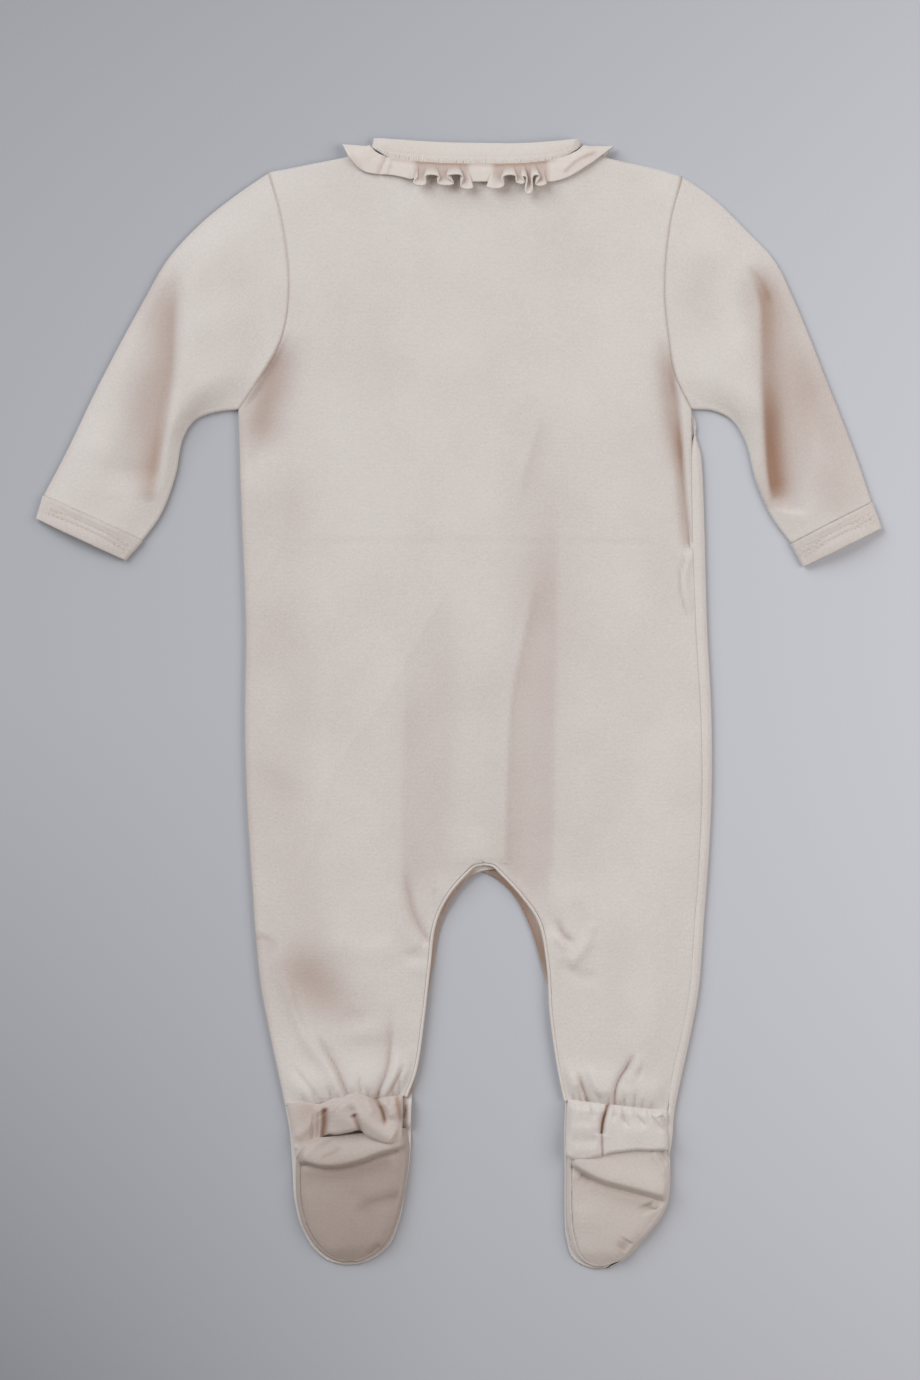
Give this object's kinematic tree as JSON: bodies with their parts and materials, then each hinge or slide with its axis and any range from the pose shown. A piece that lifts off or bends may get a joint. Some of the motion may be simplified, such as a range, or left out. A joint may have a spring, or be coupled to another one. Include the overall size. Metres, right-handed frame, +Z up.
{
  "type": "footed baby sleepsuit",
  "caption": "Footed one-piece baby sleepsuit in pale pink cotton, lying flat with its back up: long sleeves, gathered neck frill, elastic ankles, soft soled feet and a studded front.",
  "frame": {"origin": "centre of the bounding box, on the surface that the suit lies on", "axes": "+Y towards the neck, +Z up out of the back panel, the wearer's left at -X"},
  "size_m": [0.4397, 0.5866, 0.0121],
  "materials": {
    "interlock": "matte cotton interlock",
    "binding": "matte fine rib",
    "frill": "matte cotton jersey",
    "stud_cap": "satin enamel",
    "stud_socket": "satin"
  },
  "bodies": {
    "root": {"back_panel": "interlock", "front_left": "interlock", "front_right": "interlock", "sleeve_left": "interlock", "sleeve_right": "interlock", "cuff_left": "interlock", "cuff_right": "interlock", "heel_left": "interlock", "heel_right": "interlock", "sole_left": "interlock", "sole_right": "interlock", "neck_binding": "binding", "inseam_binding": "binding", "neck_frill": "frill", "stud_cap_1": "stud_cap", "stud_cap_2": "stud_cap", "stud_cap_3": "stud_cap", "stud_cap_4": "stud_cap", "stud_cap_5": "stud_cap", "stud_cap_6": "stud_cap", "stud_socket_1": "stud_socket", "stud_socket_2": "stud_socket", "stud_socket_3": "stud_socket", "stud_socket_4": "stud_socket", "stud_socket_5": "stud_socket", "stud_socket_6": "stud_socket"}
  },
  "joints": []
}
